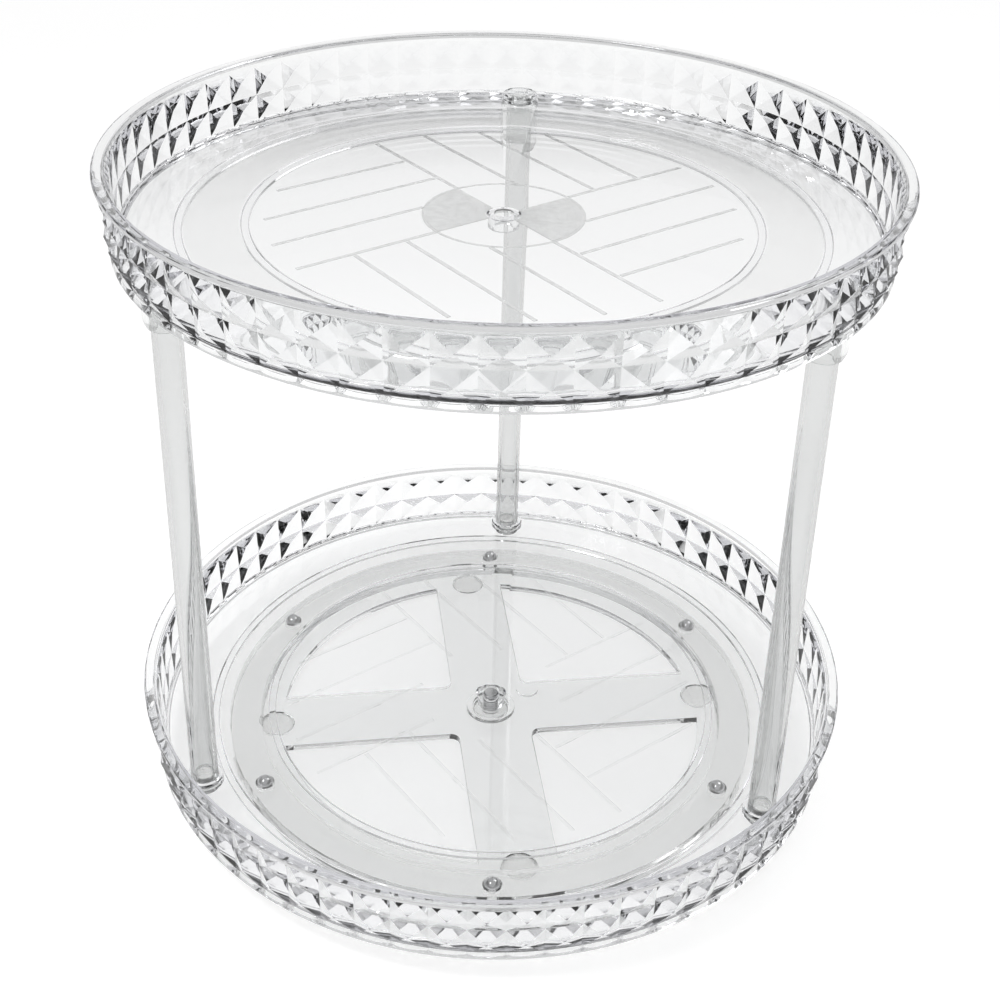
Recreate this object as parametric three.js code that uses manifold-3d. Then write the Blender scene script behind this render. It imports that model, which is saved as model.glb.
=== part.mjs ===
// Two-tier lazy susan turntable in clear moulded plastic.
// Millimetres, +Z up. The origin is on the spin axis at the surface that the feet rest on,
// and the front of the object faces -Y.
import * as THREE from 'three';
import { mergeVertices } from 'three/addons/utils/BufferGeometryUtils.js';
import Module from 'manifold-3d';

const wasm = await Module();
wasm.setup();

// ---- Overall sizes -------------------------------------------------------------------
const RIM_RADIUS = 115; // outer edge of a tray's rolled lip
const TIER_SPACING = 177.4; // from rim to rim
const TRAY_HEIGHT = 23.5; // bottom edge of the wall to the top of the lip
const CLEARANCE = 0.3; // gap left between neighbouring pieces

// ---- Tray ----------------------------------------------------------------------------
const DIAMOND_COUNT = 64; // diamonds round one row
const DIAMOND_ROWS = 2;
const DIAMOND_DEPTH = 1.8; // peak above the valleys
const DIAMOND_PHASE = 3.1; // degrees from +X to the first valley
const LIP_OVERHANG = 3; // lip beyond the valleys just under it
const LIP_THICKNESS = 1.6;
const LIP_BEVEL = 0.5;
const LIP_WIDTH = 3.4;
const NECK_HEIGHT = 1.5; // plain strip between the lip and the upper diamonds
const BAND_HEIGHT = 2.3; // plain strip under the lower diamonds
const BAND_PROUD = 0.7; // strip beyond the valleys above it
const WALL_THICKNESS = 1.6; // at the valleys
const WALL_DRAFT = 0.8; // outward lean over the height of the wall
const CORNER_RADIUS = 2.4; // inside, between the floor and the wall
const FLOOR_THICKNESS = 2;
const FLOOR_LIFT = 1.3; // underside of the floor above the wall's bottom edge
const RIB_WIDTH = 2.4; // rings that guide the balls under the floor
const RIB_DEPTH = 1.2;
const RACE_WIDTH = 16.4; // between the two guide ribs
const COLLAR_HEIGHT = 2.4; // rings on the floor round the feet of the posts
const COLLAR_WALL = 1.3;

// ---- Posts ---------------------------------------------------------------------------
const POST_COUNT = 3;
const POST_PHASE = 87.5; // degrees from +X to the back post
const POST_DIAMETER = 8.6;
const POST_WALL = 1.3;
const SLEEVE_WALL = 1.8; // sleeve round the top of a post
const SLEEVE_LENGTH = 13.7;
const SLEEVE_TAPER = 3.4; // height of its coned lower end
const SLEEVE_FOOT_WALL = 0.6; // at the small end of the cone
const PLUG_HEAD_THICKNESS = 1;
const PLUG_HEAD_OVERLAP = 1.4; // head beyond the hole it closes
const PLUG_REACH = 3; // shank inside the post

// ---- Bearing -------------------------------------------------------------------------
const BALL_COUNT = 6;
const BALL_DIAMETER = 5.5;
const BALL_PHASE = 31.3; // degrees from +X to the first ball
const SLEEVE_GAP = 0.4; // outer guide rib clear of the sleeves
const SEAT_HEIGHT = 3.7; // floor of the ball pockets
const POCKET_RISE = 0.5; // top of the pockets above the middle of a ball

// ---- Base ----------------------------------------------------------------------------
const BASE_LIFT = 1; // underside of the base above the table
const PLATE_THICKNESS = 2.2;
const BASE_RIM_WIDTH = 5; // outer edge of the base beyond the ball circle
const BALL_RING_WIDTH = 10.5; // raised ring that holds the pockets
const WINDOW_INSET = 12.5; // outer arc of the windows inside the ball circle
const WINDOW_CORNER = 3; // rounds the corner between two spokes
const SPOKE_WIDTH = 24.6;
const SPOKE_PHASE = 8; // degrees from +X to the first spoke
const SPOKE_COUNT = 4;
const FOOT_DIAMETER = 11;
const FOOT_INSET = 10.4; // feet inside the ball circle
const FOOT_THICKNESS = 1.6;
const FOOT_BEVEL = 0.4;
const HUB_DIAMETER = 16.5;
const HUB_RISE = 1.2; // hub above the plate
const HUB_DISH_DIAMETER = 12.4;
const HUB_DISH_DEPTH = 0.6;
const GATE_DIAMETER = 7.6; // round mark left by the mould
const GATE_RISE = 0.4;
const GATE_RADIUS = 16; // from the spin axis
const GATE_TURN = 30; // degrees beyond the first spoke

// ---- Pivot ---------------------------------------------------------------------------
const PIN_DIAMETER = 5.2;
const BOSS_WALL = 1.7; // boss under a tray's floor, round the pin
const BOSS_DEPTH = 4.2;
const BORE_ROOF = 0.9; // floor left over the boss's blind bore
const RETAINER_DIAMETER = 11.4;
const RETAINER_THICKNESS = 1;
const PIN_TAIL = 0.4; // pin beyond the retainer
const DOME_EDGE = 0.4; // of a domed head's height is straight
const DOME_SHOULDER_REACH = 0.65; // of its radius, where the dome turns flatter
const DOME_SHOULDER_HEIGHT = 0.9; // of its height, at the same place

// ---- Facets --------------------------------------------------------------------------
const ROUND_STEPS = 24;
const BALL_STEPS = 14; // round the ball
const BALL_BANDS = 10; // from pole to pole
const CORNER_STEPS = 3;
const WINDOW_STEPS = 10;
const RING_STEPS = 64;
const OVERRUN = 1; // a cutter goes this far past the face it opens
const WELD_DISTANCE = 1e-4; // points nearer than this are one point

// ---- Sizes that follow ---------------------------------------------------------------
const valleyTop = RIM_RADIUS - LIP_OVERHANG;
const valleyBottom = valleyTop - WALL_DRAFT;
const bandRadius = valleyBottom + BAND_PROUD;
const wallInnerTop = valleyTop - WALL_THICKNESS;
const wallInnerBottom = valleyBottom - WALL_THICKNESS;
const floorEdge = wallInnerBottom - CORNER_RADIUS;
const floorTop = FLOOR_LIFT + FLOOR_THICKNESS; // above the tray's own bottom edge

const postRadius = POST_DIAMETER / 2;
const boreRadius = postRadius - POST_WALL;
const socketRadius = postRadius + CLEARANCE;
const collarRadius = socketRadius + COLLAR_WALL;
const sleeveRadius = socketRadius + SLEEVE_WALL;
const shankRadius = boreRadius - CLEARANCE;
const plugHoleRadius = shankRadius + CLEARANCE;
const plugHeadRadius = plugHoleRadius + PLUG_HEAD_OVERLAP;
const postCircle = floorEdge - collarRadius;

const ballRadius = BALL_DIAMETER / 2;
const ribEdge = postCircle - sleeveRadius - SLEEVE_GAP; // outer edge of the outer guide rib
const ballCircle = ribEdge - RIB_WIDTH - RACE_WIDTH / 2;
const ballCentreZ = SEAT_HEIGHT + CLEARANCE + ballRadius;
const pocketRadius = ballRadius + CLEARANCE;
const pocketTopZ = ballCentreZ + POCKET_RISE;
const raceZ = ballCentreZ + ballRadius + CLEARANCE; // underside of the lower tray's floor
const lowerTrayZ = raceZ - FLOOR_LIFT;
const upperTrayZ = lowerTrayZ + TIER_SPACING;
const ribInner = ballCircle - RACE_WIDTH / 2;
const ribOuter = ballCircle + RACE_WIDTH / 2;

const plateTopZ = BASE_LIFT + PLATE_THICKNESS;
const baseRadius = ballCircle + BASE_RIM_WIDTH;
const ballRingInner = baseRadius - BALL_RING_WIDTH;
const windowRadius = ballCircle - WINDOW_INSET;
const footCircle = ballCircle - FOOT_INSET;
const footRadius = FOOT_DIAMETER / 2;
const hubTopZ = plateTopZ + HUB_RISE;

const pinRadius = PIN_DIAMETER / 2;
const pinHoleRadius = pinRadius + CLEARANCE;
const bossRadius = pinHoleRadius + BOSS_WALL;
const retainerTopZ = BASE_LIFT + RETAINER_THICKNESS + PIN_TAIL;
const retainerRecessZ = retainerTopZ + CLEARANCE;

// ---- Materials -----------------------------------------------------------------------
function clearPlastic() {
  return new THREE.MeshStandardMaterial({
    color: 0xf1f3f4, roughness: 0.08, metalness: 0, transparent: true, opacity: 0.4,
  });
}

function frostedPlastic() {
  return new THREE.MeshStandardMaterial({
    color: 0xe9ebea, roughness: 0.35, metalness: 0, transparent: true, opacity: 0.6,
  });
}

function footRubber() {
  return new THREE.MeshStandardMaterial({
    color: 0xe3e5e3, roughness: 0.55, metalness: 0, transparent: true, opacity: 0.7,
  });
}

function polishedSteel() {
  return new THREE.MeshStandardMaterial({ color: 0xc9cbcd, roughness: 0.12, metalness: 1 });
}

// ---- Solids --------------------------------------------------------------------------
function solidOf(geometry) {
  const bare = geometry.index ? geometry.toNonIndexed() : geometry.clone();
  bare.deleteAttribute('normal');
  bare.deleteAttribute('uv');
  const merged = mergeVertices(bare, WELD_DISTANCE);
  return new wasm.Manifold(new wasm.Mesh({
    numProp: 3,
    vertProperties: new Float32Array(merged.attributes.position.array),
    triVerts: new Uint32Array(merged.index.array),
  }));
}

function geometryOf(solid) {
  const mesh = solid.getMesh();
  const geometry = new THREE.BufferGeometry();
  geometry.setAttribute('position', new THREE.BufferAttribute(mesh.vertProperties, 3));
  geometry.setIndex(new THREE.BufferAttribute(mesh.triVerts, 1));
  return geometry;
}

// A turned solid. The profile is [radius, height] pairs, from the axis to the axis, or a
// loop that is closed here.
function turned(profile, steps = ROUND_STEPS, closed = false) {
  const points = profile.map(([radius, z]) => new THREE.Vector2(radius, z));
  if (closed) {
    points.push(points[0].clone());
  }
  return new THREE.LatheGeometry(points, steps).rotateX(Math.PI / 2);
}

// A plain disc or drum between two heights.
function drum(radius, bottom, top, steps = ROUND_STEPS) {
  return turned([[0, bottom], [radius, bottom], [radius, top], [0, top]], steps);
}

// A ring between two radii and two heights.
function ring(inner, outer, bottom, top, steps = ROUND_STEPS) {
  return turned([[inner, bottom], [outer, bottom], [outer, top], [inner, top]], steps, true);
}

// The nth of a number of places round a circle.
function around(radius, phase, count, index, z = 0) {
  const angle = THREE.MathUtils.degToRad(phase + 360 * index / count);
  return new THREE.Vector3(radius * Math.cos(angle), radius * Math.sin(angle), z);
}

function placed(geometry, place) {
  return geometry.translate(place.x, place.y, place.z);
}

function mesh(name, geometry, material, place = new THREE.Vector3()) {
  const made = new THREE.Mesh(geometry, material);
  made.name = name;
  made.position.copy(place);
  return made;
}

// ---- Tray ----------------------------------------------------------------------------
// The wall's outside from the band up to the neck is diamonds: each is a square pyramid
// whose corners are valleys and whose peak stands out of the wall.
const diamondBottomZ = BAND_HEIGHT;
const diamondTopZ = TRAY_HEIGHT - LIP_THICKNESS - NECK_HEIGHT;
const diamondHeight = (diamondTopZ - diamondBottomZ) / DIAMOND_ROWS;

function valleyAt(z) {
  const rise = (z - diamondBottomZ) / (diamondTopZ - diamondBottomZ);
  return valleyBottom + (valleyTop - valleyBottom) * rise;
}

// Outline of the tray's section as a closed loop of [radius, height, diamond] points.
// A true third value starts a stretch of diamonds that ends at the next point.
function trayOutline() {
  const under = FLOOR_LIFT;
  const ribZ = under - RIB_DEPTH;
  const lipUnder = TRAY_HEIGHT - LIP_THICKNESS;
  const outline = [
    [pinHoleRadius, under - BOSS_DEPTH],
    [bossRadius, under - BOSS_DEPTH],
    [bossRadius, under],
    [ribInner - RIB_WIDTH, under],
    [ribInner - RIB_WIDTH, ribZ],
    [ribInner, ribZ],
    [ribInner, under],
    [ribOuter, under],
    [ribOuter, ribZ],
    [ribOuter + RIB_WIDTH, ribZ],
    [ribOuter + RIB_WIDTH, under],
    [wallInnerBottom, under],
    [wallInnerBottom, 0],
    [bandRadius, 0],
    [bandRadius, BAND_HEIGHT],
  ];
  for (let row = 0; row < DIAMOND_ROWS; row += 1) {
    const z = diamondBottomZ + row * diamondHeight;
    outline.push([valleyAt(z), z, true]);
  }
  outline.push(
    [valleyTop, diamondTopZ],
    [valleyTop, lipUnder],
    [RIM_RADIUS - LIP_BEVEL, lipUnder],
    [RIM_RADIUS, lipUnder + LIP_BEVEL],
    [RIM_RADIUS, TRAY_HEIGHT - LIP_BEVEL],
    [RIM_RADIUS - LIP_BEVEL, TRAY_HEIGHT],
    [RIM_RADIUS - LIP_WIDTH, TRAY_HEIGHT],
    [wallInnerTop, diamondTopZ],
    [wallInnerBottom, floorTop + CORNER_RADIUS],
  );
  for (let step = 1; step <= CORNER_STEPS; step += 1) {
    const turn = (Math.PI / 2) * step / CORNER_STEPS;
    outline.push([
      floorEdge + CORNER_RADIUS * Math.cos(turn),
      floorTop + CORNER_RADIUS * (1 - Math.sin(turn)),
    ]);
  }
  outline.push([pinHoleRadius, floorTop]);
  return outline;
}

// Turns the outline round the axis, with one flat per diamond.
function trayShell() {
  const outline = trayOutline();
  const positions = [];
  const triangles = [];
  const stepAngle = 2 * Math.PI / DIAMOND_COUNT;
  const phase = THREE.MathUtils.degToRad(DIAMOND_PHASE);
  const addPoint = (radius, angle, z) => {
    positions.push(radius * Math.cos(angle), radius * Math.sin(angle), z);
    return positions.length / 3 - 1;
  };
  const rings = outline.map(([radius, z]) => (
    Array.from({ length: DIAMOND_COUNT }, (_, side) => addPoint(radius, phase + side * stepAngle, z))
  ));
  outline.forEach(([radius, z, diamond], level) => {
    const nextLevel = (level + 1) % outline.length;
    for (let side = 0; side < DIAMOND_COUNT; side += 1) {
      const nextSide = (side + 1) % DIAMOND_COUNT;
      const a = rings[level][side];
      const b = rings[level][nextSide];
      const c = rings[nextLevel][nextSide];
      const d = rings[nextLevel][side];
      if (diamond) {
        const middleRadius = (radius + outline[nextLevel][0]) / 2 + DIAMOND_DEPTH;
        const middleZ = (z + outline[nextLevel][1]) / 2;
        const peak = addPoint(middleRadius, phase + (side + 0.5) * stepAngle, middleZ);
        triangles.push(a, b, peak, b, c, peak, c, d, peak, d, a, peak);
      } else {
        triangles.push(a, b, c, a, c, d);
      }
    }
  });
  const geometry = new THREE.BufferGeometry();
  geometry.setAttribute('position', new THREE.Float32BufferAttribute(positions, 3));
  geometry.setIndex(triangles);
  return geometry;
}

// One tray: the shell, the roof of the bore in its boss, a collar round each post hole,
// and the hole itself.
function trayGeometry() {
  const roof = drum(bossRadius, floorTop - BORE_ROOF, floorTop);
  let tray = solidOf(trayShell()).add(solidOf(roof));
  for (let index = 0; index < POST_COUNT; index += 1) {
    const place = around(postCircle, POST_PHASE, POST_COUNT, index);
    const collar = drum(collarRadius, floorTop - FLOOR_THICKNESS / 2, floorTop + COLLAR_HEIGHT);
    const socket = drum(socketRadius, floorTop, floorTop + COLLAR_HEIGHT + OVERRUN);
    const hole = drum(plugHoleRadius, -OVERRUN, floorTop + OVERRUN);
    tray = tray.add(solidOf(placed(collar, place)));
    tray = tray.subtract(solidOf(placed(socket, place)));
    tray = tray.subtract(solidOf(placed(hole, place)));
  }
  return geometryOf(tray);
}

// ---- Base ----------------------------------------------------------------------------
// One quadrant window between two spokes, with a round inner corner. Its middle lies on
// the diagonal of the first quadrant.
function windowShape() {
  const half = SPOKE_WIDTH / 2;
  const reach = Math.sqrt(windowRadius ** 2 - half ** 2);
  const start = Math.atan2(half, reach);
  const corner = half + WINDOW_CORNER;
  const shape = new THREE.Shape();
  shape.moveTo(reach, half);
  shape.absarc(0, 0, windowRadius, start, Math.PI / 2 - start, false);
  shape.lineTo(half, corner);
  shape.absarc(corner, corner, WINDOW_CORNER, Math.PI, 1.5 * Math.PI, false);
  shape.closePath();
  return shape;
}

function windowCutter(index) {
  const cutter = new THREE.ExtrudeGeometry(windowShape(), {
    depth: pocketTopZ - BASE_LIFT + 2 * OVERRUN,
    bevelEnabled: false,
    curveSegments: WINDOW_STEPS,
  });
  const turn = SPOKE_PHASE + 360 * index / SPOKE_COUNT;
  return cutter.rotateZ(THREE.MathUtils.degToRad(turn)).translate(0, 0, BASE_LIFT - OVERRUN);
}

function baseGeometry() {
  const hubRadius = HUB_DIAMETER / 2;
  let base = solidOf(drum(baseRadius, BASE_LIFT, plateTopZ, RING_STEPS));
  base = base.add(solidOf(ring(ballRingInner, baseRadius, BASE_LIFT, pocketTopZ, RING_STEPS)));
  base = base.add(solidOf(drum(hubRadius, BASE_LIFT, hubTopZ)));
  const gate = around(GATE_RADIUS, SPOKE_PHASE + GATE_TURN, 1, 0);
  base = base.add(solidOf(placed(drum(GATE_DIAMETER / 2, BASE_LIFT, plateTopZ + GATE_RISE), gate)));
  for (let index = 0; index < SPOKE_COUNT; index += 1) {
    base = base.subtract(solidOf(windowCutter(index)));
  }
  for (let index = 0; index < BALL_COUNT; index += 1) {
    const place = around(ballCircle, BALL_PHASE, BALL_COUNT, index);
    const pocket = drum(pocketRadius, SEAT_HEIGHT, pocketTopZ + OVERRUN, BALL_STEPS);
    base = base.subtract(solidOf(placed(pocket, place)));
  }
  for (let index = 0; index < SPOKE_COUNT; index += 1) {
    const place = around(footCircle, SPOKE_PHASE, SPOKE_COUNT, index);
    const recess = drum(footRadius + CLEARANCE, BASE_LIFT - OVERRUN, FOOT_THICKNESS + CLEARANCE);
    base = base.subtract(solidOf(placed(recess, place)));
  }
  const dish = drum(HUB_DISH_DIAMETER / 2, hubTopZ - HUB_DISH_DEPTH, hubTopZ + OVERRUN);
  const pinHole = drum(pinHoleRadius, BASE_LIFT - OVERRUN, hubTopZ + OVERRUN);
  const recess = drum(RETAINER_DIAMETER / 2 + CLEARANCE, BASE_LIFT - OVERRUN, retainerRecessZ);
  base = base.subtract(solidOf(dish));
  base = base.subtract(solidOf(pinHole));
  base = base.subtract(solidOf(recess));
  return geometryOf(base);
}

// ---- Small turned pieces -------------------------------------------------------------
function footGeometry() {
  return turned([
    [0, 0],
    [footRadius - FOOT_BEVEL, 0],
    [footRadius, FOOT_BEVEL],
    [footRadius, FOOT_THICKNESS],
    [0, FOOT_THICKNESS],
  ]);
}

function ballGeometry() {
  return new THREE.SphereGeometry(ballRadius, BALL_STEPS, BALL_BANDS);
}

// Outline of a low domed head, from its lower edge to the axis.
function domeProfile(radius, bottom, rise) {
  return [
    [radius, bottom],
    [radius, bottom + rise * DOME_EDGE],
    [radius * DOME_SHOULDER_REACH, bottom + rise * DOME_SHOULDER_HEIGHT],
    [0, bottom + rise],
  ];
}

// Pin with its upper end in the lower tray's blind bore, down through the base.
function pinGeometry() {
  const tailZ = retainerTopZ - RETAINER_THICKNESS - PIN_TAIL;
  const topZ = lowerTrayZ + floorTop - BORE_ROOF - CLEARANCE;
  return drum(pinRadius, tailZ, topZ);
}

// Washer-like clip pushed on to the pin's lower end, inside the base's recess.
function retainerGeometry() {
  const bottom = retainerTopZ - RETAINER_THICKNESS;
  return ring(pinRadius + CLEARANCE, RETAINER_DIAMETER / 2, bottom, retainerTopZ);
}

const postBottomZ = lowerTrayZ + floorTop + CLEARANCE;
const postTopZ = upperTrayZ + FLOOR_LIFT - CLEARANCE;

function postGeometry() {
  return ring(boreRadius, postRadius, postBottomZ, postTopZ);
}

// Sleeve round the top of a post, against the underside of the upper tray.
function sleeveGeometry() {
  const bottom = postTopZ - SLEEVE_LENGTH;
  return turned([
    [socketRadius, bottom],
    [socketRadius + SLEEVE_FOOT_WALL, bottom],
    [sleeveRadius, bottom + SLEEVE_TAPER],
    [sleeveRadius, postTopZ],
    [socketRadius, postTopZ],
  ], ROUND_STEPS, true);
}

// Plug with its head under the lower tray's floor and its shank up inside a post.
function lowerPlugGeometry() {
  const seat = lowerTrayZ + FLOOR_LIFT - CLEARANCE;
  return turned([
    [0, seat - PLUG_HEAD_THICKNESS],
    [plugHeadRadius, seat - PLUG_HEAD_THICKNESS],
    [plugHeadRadius, seat],
    [shankRadius, seat],
    [shankRadius, postBottomZ + PLUG_REACH],
    [0, postBottomZ + PLUG_REACH],
  ]);
}

// Plug with its head on the upper tray's floor, inside the collar, and its shank down
// inside a post.
function upperPlugGeometry() {
  const seat = upperTrayZ + floorTop + CLEARANCE;
  return turned([
    [0, postTopZ - PLUG_REACH],
    [shankRadius, postTopZ - PLUG_REACH],
    [shankRadius, seat],
    ...domeProfile(socketRadius - CLEARANCE, seat, PLUG_HEAD_THICKNESS),
  ]);
}

// ---- Assembly ------------------------------------------------------------------------
const group = new THREE.Group();

function addBase() {
  const base = new THREE.Group();
  base.add(mesh('base', baseGeometry(), clearPlastic()));
  for (let index = 0; index < SPOKE_COUNT; index += 1) {
    const place = around(footCircle, SPOKE_PHASE, SPOKE_COUNT, index);
    base.add(mesh(`foot_${index + 1}`, footGeometry(), footRubber(), place));
  }
  group.add(base);
}

function addBalls() {
  const balls = new THREE.Group();
  for (let index = 0; index < BALL_COUNT; index += 1) {
    const place = around(ballCircle, BALL_PHASE, BALL_COUNT, index, ballCentreZ);
    balls.add(mesh(`ball_${index + 1}`, ballGeometry(), polishedSteel(), place));
  }
  group.add(balls);
}

function addTurningPieces() {
  const turning = new THREE.Group();
  turning.add(mesh('pivot_pin', pinGeometry(), polishedSteel()));
  turning.add(mesh('pin_retainer', retainerGeometry(), frostedPlastic()));
  turning.add(mesh('lower_tray', trayGeometry(), clearPlastic(), new THREE.Vector3(0, 0, lowerTrayZ)));
  turning.add(mesh('upper_tray', trayGeometry(), clearPlastic(), new THREE.Vector3(0, 0, upperTrayZ)));
  for (let index = 0; index < POST_COUNT; index += 1) {
    const place = around(postCircle, POST_PHASE, POST_COUNT, index);
    turning.add(mesh(`post_${index + 1}`, postGeometry(), clearPlastic(), place));
    turning.add(mesh(`post_sleeve_${index + 1}`, sleeveGeometry(), clearPlastic(), place));
    turning.add(mesh(`lower_plug_${index + 1}`, lowerPlugGeometry(), frostedPlastic(), place));
    turning.add(mesh(`upper_plug_${index + 1}`, upperPlugGeometry(), clearPlastic(), place));
  }
  group.add(turning);
}

addBase();
addBalls();
addTurningPieces();

export default group;
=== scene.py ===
import math

import bmesh
import bpy
from mathutils import Matrix, Vector


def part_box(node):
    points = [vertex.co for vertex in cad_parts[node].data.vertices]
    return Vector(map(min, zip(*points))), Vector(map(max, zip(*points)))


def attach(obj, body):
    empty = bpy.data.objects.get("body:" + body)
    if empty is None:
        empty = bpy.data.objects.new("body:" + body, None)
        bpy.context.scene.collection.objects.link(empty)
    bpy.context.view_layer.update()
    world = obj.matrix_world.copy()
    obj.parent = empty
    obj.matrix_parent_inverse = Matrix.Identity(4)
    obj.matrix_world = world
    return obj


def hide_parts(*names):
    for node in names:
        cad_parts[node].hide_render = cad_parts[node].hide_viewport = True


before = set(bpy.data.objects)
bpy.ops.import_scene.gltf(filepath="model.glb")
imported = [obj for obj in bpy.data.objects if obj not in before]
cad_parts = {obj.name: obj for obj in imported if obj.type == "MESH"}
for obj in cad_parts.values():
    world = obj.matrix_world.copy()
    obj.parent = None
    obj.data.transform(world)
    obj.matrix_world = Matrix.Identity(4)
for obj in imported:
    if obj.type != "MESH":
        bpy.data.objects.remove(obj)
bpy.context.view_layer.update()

# Sizes in millimetres. They repeat those of the CAD where a piece stands for a CAD node.
MM = 0.001
DIAMOND_COUNT = 64
DIAMOND_STEPS = 8  # steps round the wall for each diamond
DIAMOND_PHASE = 3.1
DIAMOND_DEPTH = 1.8
TRAY_HEIGHT = 23.5
FLOOR_UNDER = 1.3
FLOOR_TOP = 3.3
RIM_RADIUS = 115.0
VALLEY_TOP = 112.0
VALLEY_BOTTOM = 111.2
BAND_RADIUS = 111.9
BAND_TOP = 2.3
NOTCH_FLOOR = 0.9
DIAMOND_TOP = 20.4
LIP_UNDER = 21.9
WALL_INNER_TOP = 110.4
WALL_INNER_BOTTOM = 109.6
FLOOR_EDGE = 107.2
PIN_HOLE = 2.9
BORE_ROOF = 0.9
BOSS_RADIUS = 4.6
BOSS_BOTTOM = -2.9
RIBS = ((73.3, 75.7), (92.1, 94.5))
RIB_BOTTOM = 0.1
COLLAR_RADIUS = 5.9
COLLAR_HEIGHT = 2.4
SOCKET_RADIUS = 4.6
PLUG_HOLE = 3.0
EDGE_ROUND = 0.25
LIP_WIDTH = 3.0
LIP_ROUND = 0.6
FLOOR_ROUND = 2.4  # fillet between the floor and the wall
POST_BORE = 3.0
POST_RADIUS = 4.3
SLEEVE_BORE = 4.6
SLEEVE_RADIUS = 6.4
SLEEVE_FOOT = ((5.2, 0), (5.75, 1.1), (6.2, 2.4), (6.4, 3.4))  # radius and rise of the flared end
PIN_RADIUS = 2.6
PIN_END = 2.2
GROOVE_RADIUS = 2.25
GROOVE_START = 3.6
GROOVE_PITCH = 1.1
PATTERN_TURN = math.radians(37)  # the parquet on the floor, from +X
PATTERN_PITCH = 17.1
PATTERN_RADIUS = 69.0
PATTERN_CENTRE = 23.0
PATTERN_HOLE = 5.4
PATTERN_DEPTH = 0.15
PATTERN_GAP = 0.02  # between the pattern and the floor over it
LINE_WIDTH = 1.2
ARC_STEP = 5  # degrees


# ---- Mesh helpers --------------------------------------------------------------------
def make_object(name, verts, faces, scale=MM):
    mesh = bpy.data.meshes.new(name)
    mesh.from_pydata([[c * scale for c in v] for v in verts], [], faces)
    mesh.validate()
    obj = bpy.data.objects.new(name, mesh)
    bpy.context.scene.collection.objects.link(obj)
    return obj


def soften(obj, angle=32):
    for polygon in obj.data.polygons:
        polygon.use_smooth = True
    obj.data.set_sharp_from_angle(angle=math.radians(angle))


def bevel(obj, width, segments=2, angle=35):
    modifier = obj.modifiers.new("edges", "BEVEL")
    modifier.width = width * MM
    modifier.segments = segments
    modifier.limit_method = "ANGLE"
    modifier.angle_limit = math.radians(angle)


def lathe(name, profile, centre=(0, 0), steps=48, scale=MM):
    """A turned solid. A profile that starts and ends on the axis is capped there, and any
    other is a closed loop."""
    verts = []
    rows = []
    for radius, z in profile:
        if radius == 0:
            verts.append((centre[0], centre[1], z))
            rows.append([len(verts) - 1] * steps)
            continue
        start = len(verts)
        for k in range(steps):
            turn = 2 * math.pi * k / steps
            x = centre[0] + radius * math.cos(turn)
            y = centre[1] + radius * math.sin(turn)
            verts.append((x, y, z))
        rows.append(list(range(start, start + steps)))
    pairs = list(zip(rows, rows[1:]))
    if profile[0][0] != 0:
        pairs.append((rows[-1], rows[0]))
    faces = []
    for low, high in pairs:
        for k in range(steps):
            n = (k + 1) % steps
            ring = []
            for index in (low[k], low[n], high[n], high[k]):
                if index not in ring:
                    ring.append(index)
            if len(ring) > 2:
                faces.append(ring)
    return make_object(name, verts, faces, scale)


def boolean(target, tool, operation):
    modifier = target.modifiers.new(operation, "BOOLEAN")
    modifier.object = tool
    modifier.operation = operation
    modifier.solver = "EXACT"
    bpy.context.view_layer.update()
    graph = bpy.context.evaluated_depsgraph_get()
    mesh = bpy.data.meshes.new_from_object(target.evaluated_get(graph))
    target.modifiers.clear()
    target.data = mesh
    bpy.data.objects.remove(tool)


def centre_of(node):
    low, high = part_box(node)
    middle = (low + high) / 2 / MM
    return (middle.x, middle.y), low.z / MM, high.z / MM


def finish_piece(obj, material, body, slot, *nodes):
    obj.data.materials.clear()
    obj.data.materials.append(material)
    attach(obj, body)
    if nodes:
        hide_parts(*nodes)
    return obj


# ---- Materials -----------------------------------------------------------------------
RANGE_SOCKETS = ("From Min", "From Max", "To Min", "To Max")
CLEAR_COLOR = (0.975, 0.98, 0.978)
CLEAR_GLOSS = 0.015
TRACK_COLOR = (0.93, 0.935, 0.93)
TRACK_REACH = (0.0757, 0.0921)  # metres from the axis
TRACK_FADE = 0.0007
TRAY_ABSORPTION = 20
TUBE_ABSORPTION = 110


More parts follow.
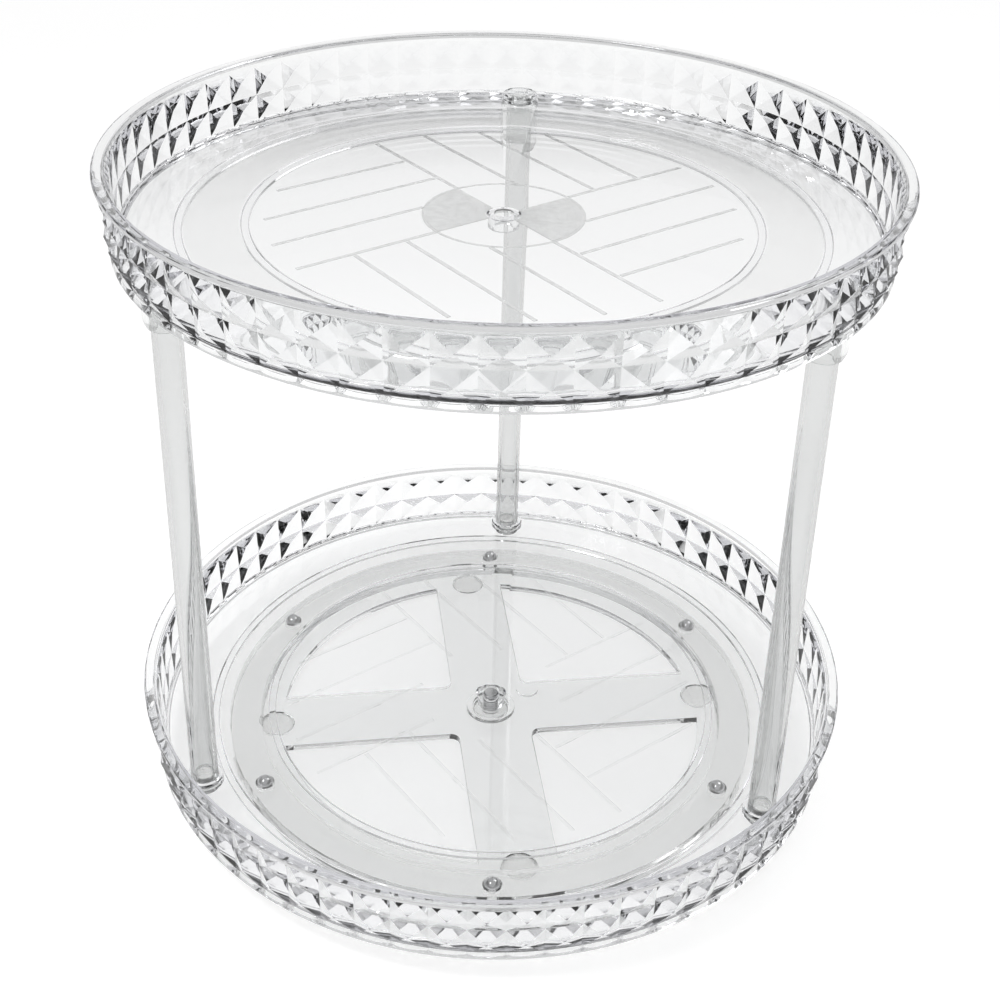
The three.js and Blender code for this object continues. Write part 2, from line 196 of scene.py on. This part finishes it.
class Shader:
    """A Principled material and the few nodes that vary its surface."""

    def __init__(self, name, color, roughness, transmission=0.0, metallic=0.0, ior=1.49):
        self.material = bpy.data.materials.new(name)
        self.material.use_nodes = True
        self.tree = self.material.node_tree
        self.bsdf = self.tree.nodes["Principled BSDF"]
        self.bsdf.inputs["Base Color"].default_value = (*color, 1)
        self.bsdf.inputs["Roughness"].default_value = roughness
        self.bsdf.inputs["Transmission Weight"].default_value = transmission
        self.bsdf.inputs["Metallic"].default_value = metallic
        self.bsdf.inputs["IOR"].default_value = ior
        self.place = self.tree.nodes.new("ShaderNodeTexCoord").outputs["Object"]

    def absorb(self, density, color):
        """Darkens with the distance that light goes through, so edges look deeper."""
        volume = self.node("ShaderNodeVolumeAbsorption")
        volume.inputs["Density"].default_value = density
        volume.inputs["Color"].default_value = (*color, 1)
        self.link(volume.outputs["Volume"], self.tree.nodes["Material Output"].inputs["Volume"])

    def node(self, kind, **settings):
        made = self.tree.nodes.new(kind)
        for key, value in settings.items():
            setattr(made, key, value)
        return made

    def link(self, output, target):
        self.tree.links.new(output, target)

    def noise(self, scale, detail=3.0):
        made = self.node("ShaderNodeTexNoise")
        made.inputs["Scale"].default_value = scale
        made.inputs["Detail"].default_value = detail
        self.link(self.place, made.inputs["Vector"])
        return made.outputs["Fac"]

    def ramp(self, value, low, high, out_low, out_high):
        made = self.node("ShaderNodeMapRange", interpolation_type="SMOOTHSTEP")
        for key, number in zip(RANGE_SOCKETS, (low, high, out_low, out_high)):
            made.inputs[key].default_value = number
        self.link(value, made.inputs["Value"])
        return made.outputs["Result"]

    def math(self, operation, first, second):
        made = self.node("ShaderNodeMath", operation=operation)
        for socket, value in zip(made.inputs, (first, second)):
            if isinstance(value, (int, float)):
                socket.default_value = value
            else:
                self.link(value, socket)
        return made.outputs["Value"]

    def radius(self):
        """Distance from the turntable's axis."""
        split = self.node("ShaderNodeSeparateXYZ")
        self.link(self.place, split.inputs["Vector"])
        squares = [self.math("POWER", split.outputs[axis], 2.0) for axis in ("X", "Y")]
        return self.math("SQRT", self.math("ADD", *squares), 0.0)

    def handling(self):
        """Roughness of a glossy surface with a haze of handling."""
        return self.ramp(self.noise(90, 5), 0.45, 0.75, 0.008, 0.035)

    def bump(self, height, strength, distance=0.0002):
        made = self.node("ShaderNodeBump")
        made.inputs["Strength"].default_value = strength
        made.inputs["Distance"].default_value = distance
        self.link(height, made.inputs["Height"])
        self.link(made.outputs["Normal"], self.bsdf.inputs["Normal"])


def clear_plastic(name, density):
    """Glossy moulded plastic with slight sink marks and a haze of handling."""
    shader = Shader(name, CLEAR_COLOR, CLEAR_GLOSS, transmission=1.0)
    shader.absorb(density, (0.0, 0.0, 0.0))
    shader.link(shader.handling(), shader.bsdf.inputs["Roughness"])
    shader.bump(shader.noise(28, 2), 0.05)
    return shader.material


def tray_plastic(name):
    """Clear plastic with the track that the balls run under lightly frosted."""
    shader = Shader(name, CLEAR_COLOR, CLEAR_GLOSS, transmission=1.0)
    shader.absorb(TRAY_ABSORPTION, (0.0, 0.0, 0.1))
    radius = shader.radius()
    start, end = TRACK_REACH
    inner = shader.ramp(radius, start, start + TRACK_FADE, 0, 1)
    outer = shader.ramp(radius, end - TRACK_FADE, end, 1, 0)
    track = shader.math("MULTIPLY", inner, outer)
    rough = shader.math("ADD", shader.handling(), shader.math("MULTIPLY", track, 0.1))
    shader.link(rough, shader.bsdf.inputs["Roughness"])
    tint = shader.node("ShaderNodeMix", data_type="RGBA")
    shader.link(track, tint.inputs["Factor"])
    first, second = [socket for socket in tint.inputs if socket.type == "RGBA"]
    first.default_value = (*CLEAR_COLOR, 1)
    second.default_value = (*TRACK_COLOR, 1)
    result = [socket for socket in tint.outputs if socket.type == "RGBA"][0]
    shader.link(result, shader.bsdf.inputs["Base Color"])
    shader.bump(shader.noise(28, 2), 0.05)
    return shader.material


def frosted_plastic(name, color, roughness, ior=1.49):
    """Plastic with an evenly etched surface. A low index makes it faint inside clear plastic."""
    shader = Shader(name, color, roughness, transmission=0.95, ior=ior)
    rough = shader.ramp(shader.noise(400, 4), 0.3, 0.7, roughness * 0.8, roughness * 1.2)
    shader.link(rough, shader.bsdf.inputs["Roughness"])
    shader.bump(shader.noise(1800, 2), 0.15, 0.00005)
    return shader.material


def silicone(name):
    """Soft, slightly cloudy rubber."""
    shader = Shader(name, (0.985, 0.985, 0.98), 0.3, transmission=0.97, ior=1.41)
    rough = shader.ramp(shader.noise(700, 4), 0.3, 0.7, 0.24, 0.38)
    shader.link(rough, shader.bsdf.inputs["Roughness"])
    shader.bump(shader.noise(2500, 2), 0.2, 0.00005)
    return shader.material


def steel(name):
    """Polished steel with fine wear."""
    shader = Shader(name, (0.6, 0.6, 0.61), 0.08, metallic=1.0)
    rough = shader.ramp(shader.noise(900, 5), 0.35, 0.7, 0.05, 0.16)
    shader.link(rough, shader.bsdf.inputs["Roughness"])
    return shader.material


CLEAR = clear_plastic("clear_plastic_looks", 8)
TUBE = clear_plastic("tube_plastic_looks", TUBE_ABSORPTION)
TRAY = tray_plastic("tray_plastic_looks")
FROST = frosted_plastic("frosted_looks", (0.96, 0.965, 0.96), 0.22)
FAINT = frosted_plastic("faint_frost_looks", (0.995, 0.995, 0.995), 0.06, ior=1.12)
SILICONE = silicone("silicone_looks")
STEEL = steel("steel_looks")


# ---- Trays ---------------------------------------------------------------------------
def corner_arc(centre, radius, start, stop, steps):
    """Points of a rounded corner of the tray's section, with angles in degrees."""
    points = []
    for k in range(steps + 1):
        turn = math.radians(start + (stop - start) * k / steps)
        x = centre[0] + radius * math.cos(turn)
        z = centre[1] + radius * math.sin(turn)
        points.append((x, z, None))
    return points


def tray_profile():
    """Section of a tray from the axis to the axis as (radius, height, kind). A notched
    point dips to the valleys between diamonds, and diamonds fill the stretch after a point
    of that kind."""
    soft = EDGE_ROUND
    points = [
        (0, FLOOR_TOP - BORE_ROOF, None),
        (PIN_HOLE, FLOOR_TOP - BORE_ROOF, None),
        (PIN_HOLE, BOSS_BOTTOM, None),
        (BOSS_RADIUS - soft, BOSS_BOTTOM, None),
        (BOSS_RADIUS, BOSS_BOTTOM + soft, None),
        (BOSS_RADIUS, FLOOR_UNDER - 0.5, None),
        (BOSS_RADIUS + 0.5, FLOOR_UNDER, None),
    ]
    for inner, outer in RIBS:
        points += [
            (inner, FLOOR_UNDER, None),
            (inner, RIB_BOTTOM + soft, None),
            (inner + soft, RIB_BOTTOM, None),
            (outer - soft, RIB_BOTTOM, None),
            (outer, RIB_BOTTOM + soft, None),
            (outer, FLOOR_UNDER, None),
        ]
    points += [
        (WALL_INNER_BOTTOM, FLOOR_UNDER, None),
        (WALL_INNER_BOTTOM, 0, None),
        (BAND_RADIUS - soft, 0, None),
        (BAND_RADIUS, soft, None),
        (BAND_RADIUS, NOTCH_FLOOR, None),
        (BAND_RADIUS, BAND_TOP, "notched"),
    ]
    middle = (BAND_TOP + DIAMOND_TOP) / 2
    points += [
        (VALLEY_BOTTOM, BAND_TOP, "diamonds"),
        ((VALLEY_BOTTOM + VALLEY_TOP) / 2, middle, "diamonds"),
        (VALLEY_TOP, DIAMOND_TOP, None),
        (VALLEY_TOP, LIP_UNDER - 0.3, None),
        (VALLEY_TOP + 0.3, LIP_UNDER, None),
    ]
    lip = (TRAY_HEIGHT - LIP_UNDER) / 2
    points += corner_arc((RIM_RADIUS - lip, LIP_UNDER + lip), lip, -90, 90, 8)
    inner_corner = (RIM_RADIUS - LIP_WIDTH, TRAY_HEIGHT - LIP_ROUND)
    points += corner_arc(inner_corner, LIP_ROUND, 90, 180, 4)
    points += [
        (WALL_INNER_TOP, DIAMOND_TOP, None),
        (WALL_INNER_BOTTOM, FLOOR_TOP + FLOOR_ROUND, None),
    ]
    for k in range(1, 7):
        turn = math.pi / 2 * k / 6
        radius = FLOOR_EDGE + FLOOR_ROUND * math.cos(turn)
        z = FLOOR_TOP + FLOOR_ROUND * (1 - math.sin(turn))
        points.append((radius, z, None))
    points.append((12, FLOOR_TOP, None))
    points.append((0, FLOOR_TOP, None))
    return points


def tray_shell(name):
    """The tray's section turned round the axis, with a pyramid raised on each diamond."""
    profile = tray_profile()
    steps = DIAMOND_COUNT * DIAMOND_STEPS
    phase = math.radians(DIAMOND_PHASE)
    verts = []
    faces = []

    def point(radius, k, z):
        turn = phase + 2 * math.pi * k / steps
        verts.append((radius * math.cos(turn), radius * math.sin(turn), z))
        return len(verts) - 1

    rows = []
    for radius, z, kind in profile:
        if radius == 0:
            rows.append([point(0, 0, z)] * steps)
            continue
        row = []
        for k in range(steps):
            at_valley = k % DIAMOND_STEPS in (0, 1, DIAMOND_STEPS - 1)
            dips = kind == "notched" and at_valley
            row.append(point(VALLEY_BOTTOM + 0.05 if dips else radius, k, z))
        rows.append(row)
    for level, (radius, z, kind) in enumerate(profile[:-1]):
        low = rows[level]
        high = rows[level + 1]
        if kind != "diamonds":
            for k in range(steps):
                n = (k + 1) % steps
                faces.append(tuple(dict.fromkeys((low[k], low[n], high[n], high[k]))))
            continue
        next_radius, next_z, _ = profile[level + 1]
        peak_radius = (radius + next_radius) / 2 + DIAMOND_DEPTH
        for side in range(DIAMOND_COUNT):
            first = side * DIAMOND_STEPS
            last = (first + DIAMOND_STEPS) % steps
            peak = point(peak_radius, first + DIAMOND_STEPS / 2, (z + next_z) / 2)
            for k in range(first, first + DIAMOND_STEPS):
                n = (k + 1) % steps
                faces.append((low[k], low[n], peak))
                faces.append((high[n], high[k], peak))
            faces.append((low[last], high[last], peak))
            faces.append((high[first], low[first], peak))
    return make_object(name, verts, faces, 1)


def tray_mesh():
    """One tray in millimetres, with its post sockets cut, standing on its bottom edge."""
    shell = tray_shell("tray_shell")
    posts = [centre_of(f"post_{index}")[0] for index in (1, 2, 3)]
    for place in posts:
        collar = lathe("collar", [
            (0, FLOOR_TOP - 1), (COLLAR_RADIUS, FLOOR_TOP - 1),
            (COLLAR_RADIUS, FLOOR_TOP + COLLAR_HEIGHT - 0.35),
            (COLLAR_RADIUS - 0.35, FLOOR_TOP + COLLAR_HEIGHT), (0, FLOOR_TOP + COLLAR_HEIGHT),
        ], place, 48, 1)
        boolean(shell, collar, "UNION")
    for place in posts:
        cutter = lathe("socket", [
            (0, -2), (PLUG_HOLE, -2), (PLUG_HOLE, FLOOR_TOP), (SOCKET_RADIUS, FLOOR_TOP),
            (SOCKET_RADIUS, FLOOR_TOP + COLLAR_HEIGHT + 2), (0, FLOOR_TOP + COLLAR_HEIGHT + 2),
        ], place, 48, 1)
        boolean(shell, cutter, "DIFFERENCE")
    mesh = shell.data
    bpy.data.objects.remove(shell)
    return mesh


def parquet(name, z, thickness, quarters):
    """Thin frosted lines on the underside of a tray's floor, with two frosted quarters in
    the middle if asked for."""
    verts = []
    faces = []

    def slab(outline):
        start = len(verts)
        count = len(outline)
        for height in (z - thickness, z):
            for along, across in outline:
                x = along * math.cos(PATTERN_TURN) - across * math.sin(PATTERN_TURN)
                y = along * math.sin(PATTERN_TURN) + across * math.cos(PATTERN_TURN)
                verts.append((x, y, height))
        faces.append(tuple(start + k for k in reversed(range(count))))
        faces.append(tuple(start + count + k for k in range(count)))
        for k in range(count):
            n = (k + 1) % count
            faces.append((start + k, start + n, start + count + n, start + count + k))

    def line(offset, side, upright):
        inner = math.sqrt(max(0.0, (PATTERN_CENTRE + 1) ** 2 - offset ** 2))
        inner = max(inner, LINE_WIDTH)
        outer = math.sqrt(PATTERN_RADIUS ** 2 - offset ** 2)
        half = LINE_WIDTH / 2
        ends = sorted((side * inner, side * outer))
        left, right = offset - half, offset + half
        low, high = ends
        if upright:
            slab([(left, low), (right, low), (right, high), (left, high)])
        else:
            slab([(low, left), (high, left), (high, right), (low, right)])

    def arc_point(radius, turn):
        return radius * math.cos(turn), radius * math.sin(turn)

    for index in range(4):
        offset = PATTERN_PITCH * index
        line(offset, -1, False)
        line(-offset, 1, False)
        line(offset, 1, True)
        line(-offset, -1, True)
    for start in range(0, 360, ARC_STEP) if quarters else ():
        turns = (math.radians(start), math.radians(start + ARC_STEP))
        inside = [arc_point(PATTERN_CENTRE + 0.1, turn) for turn in turns]
        outside = [arc_point(PATTERN_CENTRE + 0.9, turn) for turn in turns]
        slab([inside[0], outside[0], outside[1], inside[1]])
    for start in (90, -90) if quarters else ():
        turns = [math.radians(start + ARC_STEP * k) for k in range(90 // ARC_STEP + 1)]
        outline = [arc_point(PATTERN_CENTRE, turn) for turn in turns]
        outline += [arc_point(PATTERN_HOLE, turn) for turn in reversed(turns)]
        slab(outline)
    return make_object(name, verts, faces)


def build_trays():
    shape = tray_mesh()
    for tier, frost in (("upper", FROST), ("lower", FAINT)):
        node = f"{tier}_tray"
        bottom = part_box(node)[1].z / MM - TRAY_HEIGHT
        mesh = shape.copy()
        mesh.transform(Matrix.Scale(MM, 4) @ Matrix.Translation((0, 0, bottom)))
        tray = bpy.data.objects.new(f"{tier}_tray_shell", mesh)
        bpy.context.scene.collection.objects.link(tray)
        soften(tray, 20)
        finish_piece(tray, TRAY, "turning_body", "clear_plastic", node)
        top = bottom + FLOOR_UNDER - PATTERN_GAP
        lines = parquet(f"{tier}_floor_pattern", top, PATTERN_DEPTH, tier == "upper")
        finish_piece(lines, frost, "turning_body", "frosted_plastic")


# ---- Posts ---------------------------------------------------------------------------
def build_posts():
    for index in (1, 2, 3):
        place, low, high = centre_of(f"post_{index}")
        post = lathe(f"post_tube_{index}", [
            (POST_BORE, low), (POST_RADIUS, low), (POST_RADIUS, high), (POST_BORE, high),
        ], place, 64)
        bevel(post, 0.25)
        soften(post)
        finish_piece(post, TUBE, "turning_body", "clear_plastic", f"post_{index}")
        place, low, high = centre_of(f"post_sleeve_{index}")
        profile = [(SLEEVE_BORE, low)]
        profile += [(radius, low + rise) for radius, rise in SLEEVE_FOOT]
        profile += [(SLEEVE_RADIUS, high), (SLEEVE_BORE, high)]
        sleeve = lathe(f"sleeve_{index}", profile, place, 64)
        bevel(sleeve, 0.2, angle=50)
        soften(sleeve)
        finish_piece(sleeve, CLEAR, "turning_body", "clear_plastic", f"post_sleeve_{index}")


def polish_cad_copy(node, name, material, body, slot, width):
    """A copy of a CAD node with its flat faces joined and its edges rounded."""
    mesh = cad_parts[node].data.copy()
    obj = bpy.data.objects.new(name, mesh)
    bpy.context.scene.collection.objects.link(obj)
    work = bmesh.new()
    work.from_mesh(mesh)
    bmesh.ops.remove_doubles(work, verts=work.verts, dist=1e-6)
    bmesh.ops.dissolve_limit(work, angle_limit=math.radians(1), verts=work.verts, edges=work.edges)
    work.to_mesh(mesh)
    work.free()
    bevel(obj, width, 2, 40)
    soften(obj)
    return finish_piece(obj, material, body, slot, node)


def build_small_pieces():
    polish_cad_copy("base", "base_plate", CLEAR, "base_body", "clear_plastic", 0.2)
    polish_cad_copy("pin_retainer", "retainer_clip", FROST, "turning_body",
                    "frosted_plastic", 0.15)
    plugs = (("lower", FROST, "frosted_plastic"), ("upper", CLEAR, "clear_plastic"))
    for index in (1, 2, 3):
        for tier, material, slot in plugs:
            node = f"{tier}_plug_{index}"
            polish_cad_copy(node, f"{node}_piece", material, "turning_body", slot, 0.15)
    for index in (1, 2, 3, 4):
        polish_cad_copy(f"foot_{index}", f"foot_pad_{index}", SILICONE, "base_body",
                        "foot_silicone", 0.15)


def build_pin():
    """A turned steel pin with grooves where the plastic of the boss grips it."""
    place, low, high = centre_of("pivot_pin")
    profile = [(0, low), (PIN_END, low), (PIN_RADIUS, low + 0.4)]
    groove = low + GROOVE_START
    while groove + 0.9 < high - 0.6:
        profile += [
            (PIN_RADIUS, groove), (GROOVE_RADIUS, groove + 0.3),
            (GROOVE_RADIUS, groove + 0.5), (PIN_RADIUS, groove + 0.8),
        ]
        groove += GROOVE_PITCH
    profile += [(PIN_RADIUS, high - 0.5), (PIN_END, high), (0, high)]
    pin = lathe("steel_pin", profile, place, 40)
    soften(pin)
    finish_piece(pin, STEEL, "turning_body", "bearing_steel", "pivot_pin")


def build_balls():
    for index in range(1, 7):
        place, low, high = centre_of(f"ball_{index}")
        radius = (high - low) / 2
        middle = (low + high) / 2
        profile = []
        for k in range(25):
            turn = math.radians(-90 + 7.5 * k)
            reach = 0 if k in (0, 24) else radius * math.cos(turn)
            profile.append((reach, middle + radius * math.sin(turn)))
        ball = lathe(f"steel_ball_{index}", profile, place, 32)
        soften(ball, 60)
        finish_piece(ball, STEEL, f"ball_{index}_body", "bearing_steel", f"ball_{index}")


# ---- Stage ---------------------------------------------------------------------------
LEFT_CARD = (0.5, 0.75)  # sideways part of the direction where the left card fades in
RIGHT_CARD = (0.35, 0.6)  # the same at the right, where the photographed facets are darker
CARD_FOOT = (0.2, 0.4)  # upward part where the cards fade in, above a pale horizon
CARD_TOP = (0.55, 0.8)  # and where they fade out
BAND_EDGE = (0.12, 0.32)  # upward part where the darker horizon ends
BAND_DEPTH = 0.15  # how dark the horizon is, from 0 to 1
CARD_LEVEL = 0.05  # strength of the sky on the cards
SKY = 0.75  # strength of the sky where nothing darkens it
NEAR_PAINTED_LIGHT_GLOW = 0.74  # emission of the floor under the object, raised there as painted light that lifts the object's shadow
FAR_GLOW = 0.65  # and away from it
PAINTED_LIGHT_FADE = (0.12, 0.4)  # metres from the axis, over which the painted light under the object fades out
FLOOR_REACH = 1800
FLOOR_DROP = 0.15
FLOOR_COLOR = (0.42, 0.42, 0.42)
CAMERA_PITCH = 28.1
CAMERA_ROLL = 0.027
CAMERA_PLACE = (0, -0.4214, 0.3654)
CAMERA_LENS = 56.4
CAMERA_SHIFT = -0.14
CLEAR_BOUNCES = 20


def build_floor():
    """A pale floor lit a little from within, as on a light table, most under the object, where the
    extra emission is painted light that lifts the object's shadow.
    """
    square = ((-1, -1), (1, -1), (1, 1), (-1, 1))
    corners = [(x * FLOOR_REACH, y * FLOOR_REACH, -FLOOR_DROP) for x, y in square]
    floor = make_object("floor", corners, [(0, 1, 2, 3)])
    shader = Shader("floor_painted_light_looks", FLOOR_COLOR, 0.7)
    rough = shader.ramp(shader.noise(6, 2), 0.3, 0.7, 0.66, 0.74)
    shader.link(rough, shader.bsdf.inputs["Roughness"])
    shader.bsdf.inputs["Emission Color"].default_value = (1, 1, 1, 1)
    # Painted light: the floor's emission is raised under the object, where its shadow falls.
    emission_with_painted_light = shader.ramp(shader.radius(), *PAINTED_LIGHT_FADE, NEAR_PAINTED_LIGHT_GLOW, FAR_GLOW)
    shader.link(emission_with_painted_light, shader.bsdf.inputs["Emission Strength"])
    floor.data.materials.append(shader.material)


def build_world():
    """Pale all round, slightly darker at the horizon, with a dark card high up at the left and
    right. They give steel and thick plastic something dark to show."""
    world = bpy.data.worlds.new("studio")
    bpy.context.scene.world = world
    world.use_nodes = True
    tree = world.node_tree
    place = tree.nodes.new("ShaderNodeTexCoord").outputs["Generated"]
    split = tree.nodes.new("ShaderNodeSeparateXYZ")
    tree.links.new(place, split.inputs["Vector"])

    def math_node(operation, first, second=None):
        made = tree.nodes.new("ShaderNodeMath")
        made.operation = operation
        for socket, value in zip(made.inputs, (first, second)):
            if isinstance(value, (int, float)):
                socket.default_value = value
            elif value is not None:
                tree.links.new(value, socket)
        return made.outputs["Value"]

    def fade(value, low, high, out_low, out_high):
        made = tree.nodes.new("ShaderNodeMapRange")
        made.interpolation_type = "SMOOTHSTEP"
        for key, number in zip(RANGE_SOCKETS, (low, high, out_low, out_high)):
            made.inputs[key].default_value = number
        tree.links.new(value, made.inputs["Value"])
        return made.outputs["Result"]

    leftward = math_node("MULTIPLY", split.outputs["X"], -1)
    left = fade(leftward, *LEFT_CARD, 0, 1)
    right = fade(split.outputs["X"], *RIGHT_CARD, 0, 1)
    side = math_node("MAXIMUM", left, right)
    foot = fade(split.outputs["Z"], *CARD_FOOT, 0, 1)
    top = fade(split.outputs["Z"], *CARD_TOP, 1, 0)
    cards = math_node("MULTIPLY", side, math_node("MULTIPLY", foot, top))
    band = fade(split.outputs["Z"], *BAND_EDGE, BAND_DEPTH, 0)
    dark = math_node("MAXIMUM", cards, band)
    level = fade(dark, 0, 1, SKY, CARD_LEVEL)
    background = tree.nodes["Background"]
    background.inputs["Color"].default_value = (1, 1, 1, 1)
    tree.links.new(level, background.inputs["Strength"])


def area_light(name, place, size, power):
    light = bpy.data.lights.new(name, "AREA")
    light.shape = "DISK"
    light.size = size
    light.energy = power
    obj = bpy.data.objects.new(name, light)
    obj.location = place
    aim = Vector((0, 0, 0.1)) - Vector(place)
    obj.rotation_euler = aim.to_track_quat("-Z", "Y").to_euler()
    bpy.context.scene.collection.objects.link(obj)


def build_camera():
    pitch = math.radians(CAMERA_PITCH)
    roll = CAMERA_ROLL
    forward = Vector((0, math.cos(pitch), -math.sin(pitch)))
    right = Vector((1, 0, 0))
    up = right.cross(forward)
    turned_right = right * math.cos(roll) + up * math.sin(roll)
    turned_up = up * math.cos(roll) - right * math.sin(roll)
    camera = bpy.data.cameras.new("camera")
    camera.lens = CAMERA_LENS
    camera.sensor_width = 36
    camera.shift_y = CAMERA_SHIFT
    obj = bpy.data.objects.new("camera", camera)
    rotation = Matrix((turned_right, turned_up, -forward)).transposed().to_4x4()
    obj.matrix_world = Matrix.Translation(CAMERA_PLACE) @ rotation
    bpy.context.scene.collection.objects.link(obj)
    bpy.context.scene.camera = obj


def set_light_paths():
    """Clear walls stand behind one another, so light needs many bounces to get through."""
    scene = bpy.context.scene
    scene.cycles.max_bounces = CLEAR_BOUNCES
    scene.cycles.transmission_bounces = CLEAR_BOUNCES
    scene.cycles.glossy_bounces = 8
    scene.cycles.diffuse_bounces = 3
    scene.view_settings.view_transform = "Standard"
    scene.view_settings.exposure = 0


build_camera()
build_floor()
build_world()
area_light("key", (-0.5, -0.3, 1.1), 0.25, 4)
area_light("fill", (0.6, 0.5, 0.9), 0.6, 2)
build_trays()
build_posts()
build_small_pieces()
build_pin()
build_balls()
set_light_paths()
